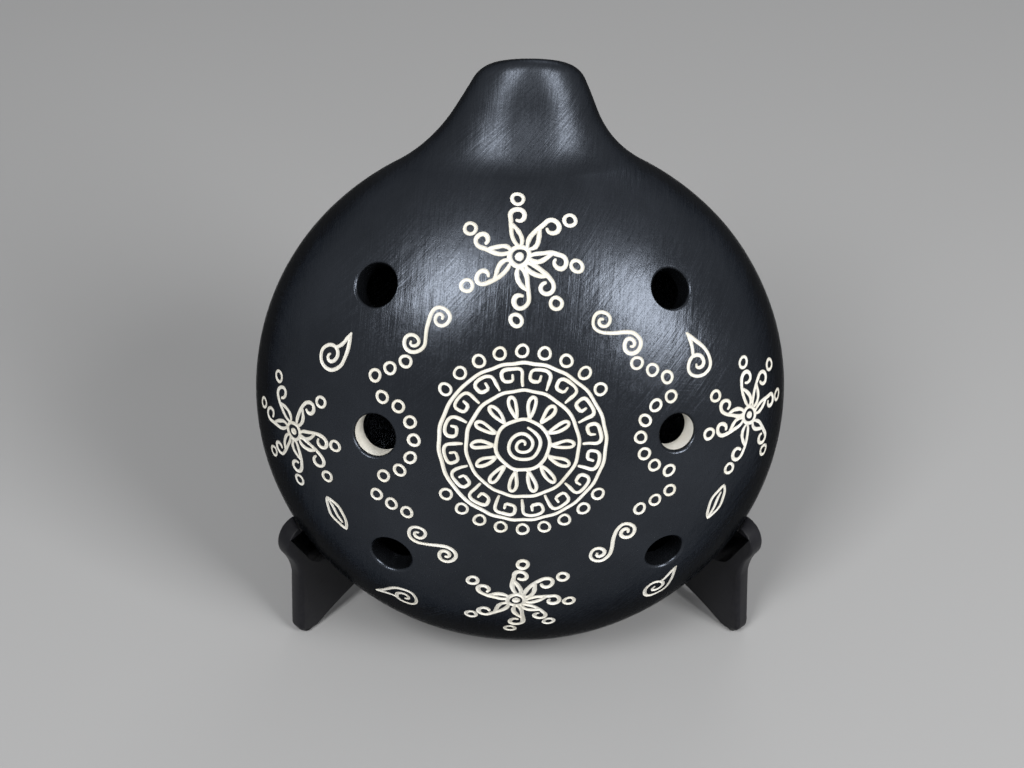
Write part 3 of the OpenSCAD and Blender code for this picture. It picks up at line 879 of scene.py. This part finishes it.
def streaks_group():
    """Fine rubbing marks: noise stretched hard along three directions, upright, slanting and level, each
    growing and fading softly over the skin."""
    tree, w, given, out = group("Rubbing marks", {"Length": 120.0, "Fineness": 3600.0, "Patch size": 26.0},
                                ["Marks"])
    coords = w.coords()
    patches = w.noise(w.scaled(coords, given["Patch size"]), 3.0, 0.6, 0.6)
    comb = w.add("ShaderNodeCombineXYZ")
    for axis, label in (("X", "Length"), ("Y", "Length"), ("Z", "Fineness")):
        w.link(given[label], comb.inputs[axis])
    marks = 0.5
    for turn, low, high in ((1.46, 0.66, 0.36), (0.72, 0.40, 0.60), (-0.35, 0.52, 0.74)):
        turned = w.add("ShaderNodeMapping", Rotation=(0.0, turn, 0.0))
        w.link(coords, turned.inputs["Vector"])
        stretch = w.add("ShaderNodeVectorMath", operation="MULTIPLY")
        w.link(turned.outputs[0], stretch.inputs[0])
        w.link(comb.outputs[0], stretch.inputs[1])
        layer = w.math("SUBTRACT", w.noise(stretch.outputs[0], 2.0, 0.6, 0.1), 0.5)
        marks = w.math("MULTIPLY_ADD", layer, w.ramp(patches, low, high), marks)
    w.link(marks, out["Marks"])
    return tree


def mottle_group():
    """Slow change of tone, and fine specks."""
    tree, w, given, out = group("Mottle", {"Size": 60.0, "Specks": 1400.0}, ["Tone", "Speck"])
    coords = w.coords()
    for size, label, detail in (("Size", "Tone", 4.0), ("Specks", "Speck", 2.0)):
        w.link(w.noise(w.scaled(coords, given[size]), detail, 0.55), out[label])
    return tree


def wear_group():
    """Mask of worn edges: where the surface comes to a point, broken up by noise."""
    tree, w, given, out = group("Edge wear", {"Amount": 0.5}, ["Wear"])
    edge = w.ramp(w.add("ShaderNodeNewGeometry").outputs["Pointiness"], 0.515, 0.56)
    broken = w.ramp(w.noise(w.scaled(w.coords(), 900.0), 4.0, 0.6), 0.42, 0.62)
    w.link(w.math("MULTIPLY", w.math("MULTIPLY", edge, broken), given["Amount"], clamp=True), out["Wear"])
    return tree


def start_material(name, **shader_values):
    """New material with its wires and its shader, whose plain values are set."""
    mat = bpy.data.materials.new(name)
    mat.use_nodes = True
    shader = mat.node_tree.nodes["Principled BSDF"].inputs
    for key, value in shader_values.items():
        shader[key.replace("_", " ")].default_value = value
    return mat, Wires(mat.node_tree), shader


def placed(w, tree, **values):
    """A node group placed in a material with its own values."""
    return w.add("ShaderNodeGroup", node_tree=tree, **values).outputs


def coat_material(fin, streaks, mottle):
    """Black slip rubbed to a graphite-like sheen that fades towards the outline, duller on the neck: rubbing
    marks and fine grain in roughness and bump, slow change of tone."""
    mat, w, shader = start_material("Burnished coat", Specular_IOR_Level=0.42, Metallic=0.9,
                                    Specular_Tint=(0.1, 0.1, 0.1, 1))
    marks = placed(w, streaks)["Marks"]
    strokes = placed(w, streaks, Length=65.0, Fineness=460.0, Patch_size=15.0)["Marks"]
    tone = placed(w, mottle, Size=48.0, Specks=2500.0)
    lighter = tuple(c * 1.25 for c in fin.coat)
    w.link(w.mix(w.ramp(tone["Tone"], 0.35, 0.7), tuple(fin.coat), lighter), shader["Base Color"])
    here = w.add("ShaderNodeSeparateXYZ")
    w.link(w.coords(), here.inputs[0])
    rough = w.ramp(marks, 0.35, 0.65, fin.coat_roughness - 0.06, fin.coat_roughness + 0.08)
    for change in (w.ramp(tone["Tone"], 0.3, 0.7, -0.03, 0.04), w.ramp(tone["Speck"], 0.35, 0.65, -0.05, 0.05),
                   w.ramp(here.outputs["Z"], *NECK_HEIGHTS, 0.0, NECK_DULLNESS)):
        rough = w.math("ADD", rough, change)
    w.link(rough, shader["Roughness"])
    normal = None
    for height, strength, depth in ((strokes, 1.0, STROKE_DEPTH), (marks, 1.0, MARK_DEPTH),
                                    (tone["Speck"], 1.0, GRAIN_DEPTH), (tone["Tone"], 0.5, TONE_DEPTH)):
        normal = w.bump(height, strength, depth, normal)
    w.link(normal, shader["Normal"])
    return mat


def clay_material(fin, mottle):
    """Bare pale clay: faint tone change, dusty grain and a few dark crumbs of coat left in the cut."""
    mat, w, shader = start_material("Bare clay", Roughness=0.82)
    tone = placed(w, mottle, Size=160.0, Specks=2600.0)
    pale = tuple(fin.clay)
    col = w.mix(w.ramp(tone["Tone"], 0.35, 0.7), pale, (pale[0] * 0.9, pale[1] * 0.88, pale[2] * 0.83))
    col = w.mix(w.ramp(tone["Speck"], 0.69, 0.78, 0, 0.75), col, (0.10, 0.095, 0.09))
    w.link(col, shader["Base Color"])
    w.link(w.bump(tone["Speck"], 0.6, 0.00012), shader["Normal"])
    return mat


def paint_material(fin, mottle, wear):
    """Black paint on sanded board: soft sheen, faint grain showing through, rubbed edges."""
    mat, w, shader = start_material("Stand paint", Specular_IOR_Level=0.22)
    tone = placed(w, mottle, Size=90.0, Specks=1100.0)
    lighter = tuple(c * 1.8 + 0.003 for c in fin.paint)
    col = w.mix(w.ramp(tone["Tone"], 0.35, 0.7), tuple(fin.paint), lighter)
    col = w.mix(placed(w, wear, Amount=0.35)["Wear"], col, (0.045, 0.043, 0.045))
    w.link(col, shader["Base Color"])
    w.link(w.ramp(tone["Tone"], 0.3, 0.7, 0.38, 0.50), shader["Roughness"])
    grain = w.add("ShaderNodeMapping")
    grain.inputs["Scale"].default_value = (120.0, 120.0, 1500.0)
    w.link(w.coords(), grain.inputs["Vector"])
    lines = w.bump(w.noise(grain.outputs[0], 4.0, 0.55), 0.22, 0.00012)
    w.link(w.bump(tone["Speck"], 0.3, 0.00007, lines), shader["Normal"])
    return mat


def metal_material(name, tint, dull, roughness, mottle):
    """Aged metal: dull patches, fine scratches."""
    mat, w, shader = start_material(name, Metallic=1.0)
    tone = placed(w, mottle, Size=420.0, Specks=3200.0)
    w.link(w.mix(w.ramp(tone["Tone"], 0.4, 0.68), tint, dull), shader["Base Color"])
    w.link(w.ramp(tone["Tone"], 0.35, 0.7, roughness, roughness + 0.22), shader["Roughness"])
    w.link(w.bump(tone["Speck"], 0.25, 0.00004), shader["Normal"])
    return mat


FINISHES = {}


def finishes(scene):
    """Every finish, made once."""
    if not FINISHES:
        fin = scene.ocarina_finish
        streaks, mottle, wear = streaks_group(), mottle_group(), wear_group()
        brass, dull_brass = tuple(fin.brass), tuple(c * 0.45 for c in fin.brass)
        FINISHES["coat"] = coat_material(fin, streaks, mottle)
        FINISHES["clay"] = clay_material(fin, mottle)
        FINISHES["paint"] = paint_material(fin, mottle, wear)
        FINISHES["brass"] = metal_material("Aged brass", brass, dull_brass, 0.3, mottle)
        FINISHES["steel"] = metal_material("Pin steel", (0.45, 0.45, 0.46), (0.22, 0.22, 0.22), 0.32, mottle)
    return FINISHES


def coated(scene):
    """The coat and the clay under it: slots 0 and 1 of every clay piece."""
    made = finishes(scene)
    return [made["coat"], made["clay"]]


def skin_columns(start, end):
    """Angles of the skin's columns from one quarter turn to another."""
    return np.arange(start * COLUMNS // 4, end * COLUMNS // 4 + 1) * 2 * np.pi / COLUMNS


# ---------------------------------------------------------------- operators

class OCARINA_OT_front_shell(bpy.types.Operator):
    """Front of the clay body: coated skin with scratched ornament and six finger holes"""

    bl_idname = "ocarina.front_shell"
    bl_label = "Front shell"

    def execute(self, context):
        form, slots = BodyForm(context.scene.ocarina_body), coated(context.scene)
        rows, angles = np.linspace(0, form.s[0], ROWS), skin_columns(-1, 1)
        r0, r1, c0, c1 = PATCH[0], len(rows) - PATCH[1], PATCH[2], len(angles) - PATCH[3]
        filling = scratched_patch(form, context.scene.ocarina_ornament, rows[r0:r1 + 1], angles[c0:c1 + 1])
        shell = shell_solid(form, "front_shell_coated", rows, angles, slots, ((r0, r1, c0, c1), filling))
        cut_all(shell, [bore_cutter(form, *hole, slots, "bore_%d" % k) for k, hole in enumerate(FINGER_HOLES)])
        shade(shell, form)
        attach(shell, "ocarina")
        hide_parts("front_shell")
        return {"FINISHED"}


class OCARINA_OT_back_shell(bpy.types.Operator):
    """Back of the clay body: plain coated skin with the sound window and its ramp"""

    bl_idname = "ocarina.back_shell"
    bl_label = "Back shell"

    def execute(self, context):
        form, slots = BodyForm(context.scene.ocarina_body), coated(context.scene)
        rows, angles = np.linspace(0, form.s[0], ROWS), skin_columns(1, 3)
        shell = shell_solid(form, "back_shell_coated", rows, angles, slots)
        cut_all(shell, [prism(form, "window", window_outline(form)[0], 0, slots)])
        shade(shell, form)
        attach(shell, "ocarina")
        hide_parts("back_shell")
        return {"FINISHED"}


class OCARINA_OT_blowing_end(bpy.types.Operator):
    """Neck and blowing end with the windway through it"""

    bl_idname = "ocarina.blowing_end"
    bl_label = "Blowing end"

    def execute(self, context):
        form, slots = BodyForm(context.scene.ocarina_body), coated(context.scene)
        end = neck_solid(form, slots)
        drift = form.shift / (form.H - form.joint[1])
        cut_all(end, [prism(form, "windway", windway_outline(form), 1, slots, drift)])
        shade(end, form)
        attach(end, "ocarina")
        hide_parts("windway_block", "windway_roof")
        return {"FINISHED"}


def painted_leg(form, node, name, paint):
    """Copy of a leg's board with its flat faces made whole and its sharp edges rounded, less so where the
    hollow seat comes close to the clay body."""
    leg = bpy.data.objects.new(name, node.data.copy())
    leg.data.materials.clear()
    leg.data.materials.append(paint)
    bpy.context.scene.collection.objects.link(leg)

    def whole_faces(bm):
        bmesh.ops.dissolve_limit(bm, angle_limit=np.radians(1.0), verts=bm.verts, edges=bm.edges)

    def edge_weights(bm):
        weight = bm.edges.layers.float.new("bevel_weight_edge")
        for edge in bm.edges:
            if len(edge.link_faces) == 2 and edge.calc_face_angle(0) > np.radians(50):
                ends = form.unplace(np.array([tuple(v.co) for v in edge.verts]))
                away = np.linalg.norm(ends / np.array([form.R, form.B, form.R]), axis=1).mean() - 1.05
                edge[weight] = np.clip(away / 0.09, 0.18, 1.0)

    edited(leg, merge_doubles, whole_faces, edge_weights)
    leg.data.polygons.foreach_set("use_smooth", np.ones(len(leg.data.polygons), bool))
    bevel = leg.modifiers.new("Rounded edges", "BEVEL")
    bevel.width, bevel.segments, bevel.limit_method = LEG_ROUNDING, 4, "WEIGHT"
    bevel.use_clamp_overlap = False
    bevel.harden_normals = True
    return leg


class OCARINA_OT_stand(bpy.types.Operator):
    """Painted legs with rounded edges, and finishes for the hinge, its screws and the seam"""

    bl_idname = "ocarina.stand"
    bl_label = "Stand"

    def execute(self, context):
        made, form, nodes = finishes(context.scene), BodyForm(context.scene.ocarina_body), frame["nodes"]
        kinds = {"hinge_pin": "steel", "seam_coil": "clay"}
        for side, body in (("left", "stand_left"), ("right", "stand_right")):
            leg = painted_leg(form, nodes[side + "_leg"], side + "_leg_painted", made["paint"])
            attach(leg, body)
            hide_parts(side + "_leg")
            kinds.update({side + part: "brass" for part in ("_leaf", "_upper_screw", "_lower_screw")})
        for name, kind in kinds.items():
            for slot in nodes[name].material_slots:
                slot.material = made[kind]
        return {"FINISHED"}


def add_floor(st):
    """Flat square floor that passes into the plain backdrop far from the object, for the rays that see it."""
    mat, w, _ = start_material("Pale floor", Base_Color=(*st.floor, 1), Roughness=0.9, Specular_IOR_Level=0.1)
    reach = w.add("ShaderNodeVectorMath", operation="LENGTH")
    w.link(w.coords(), reach.inputs[0])
    glow = w.add("ShaderNodeEmission", Color=(*st.backdrop, 1), Strength=1.0)
    both = w.add("ShaderNodeMixShader")
    w.link(w.math("MULTIPLY", w.ramp(reach.outputs["Value"], *FLOOR_FADE), w.seen()), both.inputs[0])
    nodes = mat.node_tree.nodes
    w.link(nodes["Principled BSDF"].outputs[0], both.inputs[1])
    w.link(glow.outputs[0], both.inputs[2])
    w.link(both.outputs[0], nodes["Material Output"].inputs["Surface"])
    t = np.linspace(-1, 1, FLOOR_POINTS) * FLOOR_HALF
    X, Y = np.meshgrid(t, t, indexing="ij")
    points = np.stack([X, Y, 0 * X], -1).reshape(-1, 3)
    floor = new_mesh_object("floor", points, [(grid_faces(FLOOR_POINTS, FLOOR_POINTS)[:, ::-1], 0)], [mat])


def add_world(scene, st):
    """Plain even background; matt surfaces get only a share of its light."""
    scene.world = bpy.data.worlds.new("Studio")
    scene.world.use_nodes = True
    w = Wires(scene.world.node_tree)
    back = scene.world.node_tree.nodes["Background"].inputs
    back["Color"].default_value = (*st.backdrop, 1)
    w.link(w.math("MULTIPLY_ADD", w.seen(), 1 - FILL, FILL), back["Strength"])


def add_lamp(scene, name, size, power, way, distance):
    """Oblong soft lamp at a distance along a way from the aim, turned to it."""
    data = bpy.data.lights.new(name, "AREA")
    data.shape, data.size, data.size_y, data.energy = "RECTANGLE", size[0], size[1], power
    lamp = bpy.data.objects.new(name, data)
    scene.collection.objects.link(lamp)
    lamp.location = np.array(LAMP_AIM) + distance * np.array(way)
    lamp.rotation_euler = Vector(-distance * np.array(way)).to_track_quat("-Z", "Y").to_euler()


def add_camera(scene, st):
    """Camera in front of the body, looking down at it by the elevation."""
    data = bpy.data.cameras.new("camera")
    data.sensor_width, data.lens = 36, st.lens
    scene.camera = bpy.data.objects.new("camera", data)
    scene.collection.objects.link(scene.camera)
    c, q = np.cos(st.elevation), np.sin(st.elevation)
    look, down = np.array([0, c, -q]), np.array([0, -q, -c])
    centre = np.array(BODY_MIDDLE) * MM
    scene.camera.location = centre - st.distance * look + st.aim_side * np.array([1, 0, 0]) - st.aim_rise * down
    scene.camera.rotation_euler = (np.pi / 2 - st.elevation, 0, 0)


class OCARINA_OT_stage(bpy.types.Operator):
    """Plain pale floor, soft studio light and the camera"""

    bl_idname = "ocarina.stage"
    bl_label = "Stage"

    def execute(self, context):
        scene, st = context.scene, context.scene.ocarina_stage
        add_floor(st)
        add_world(scene, st)
        for lamp in LAMPS:
            add_lamp(scene, *lamp)
        add_camera(scene, st)
        scene.view_settings.view_transform = "Standard"
        return {"FINISHED"}


class OCARINA_PT_dresser(bpy.types.Panel):
    """Lists the steps and their settings"""

    bl_idname = "OCARINA_PT_dresser"
    bl_label = "Ocarina"
    bl_space_type = "VIEW_3D"
    bl_region_type = "UI"
    bl_category = "Ocarina"

    def draw(self, context):
        for group_name in GROUPS:
            settings = getattr(context.scene, group_name)
            box = self.layout.box()
            for key in settings.__annotations__:
                box.prop(settings, key)
        for op in OPERATORS:
            self.layout.operator(op.bl_idname)


GROUPS = {"ocarina_body": BodySettings, "ocarina_ornament": OrnamentSettings,
          "ocarina_finish": FinishSettings, "ocarina_stage": StageSettings}
OPERATORS = (OCARINA_OT_front_shell, OCARINA_OT_back_shell, OCARINA_OT_blowing_end, OCARINA_OT_stand,
             OCARINA_OT_stage)


def register():
    for cls in (*GROUPS.values(), *OPERATORS, OCARINA_PT_dresser):
        bpy.utils.register_class(cls)
    for name, cls in GROUPS.items():
        setattr(bpy.types.Scene, name, bpy.props.PointerProperty(type=cls))


def unregister():
    for name in GROUPS:
        delattr(bpy.types.Scene, name)
    for cls in reversed((*GROUPS.values(), *OPERATORS, OCARINA_PT_dresser)):
        bpy.utils.unregister_class(cls)


def main():
    register()
    bpy.ops.ocarina.front_shell()
    bpy.ops.ocarina.back_shell()
    bpy.ops.ocarina.blowing_end()
    bpy.ops.ocarina.stand()
    bpy.ops.ocarina.stage()


if __name__ == "__main__":
    main()
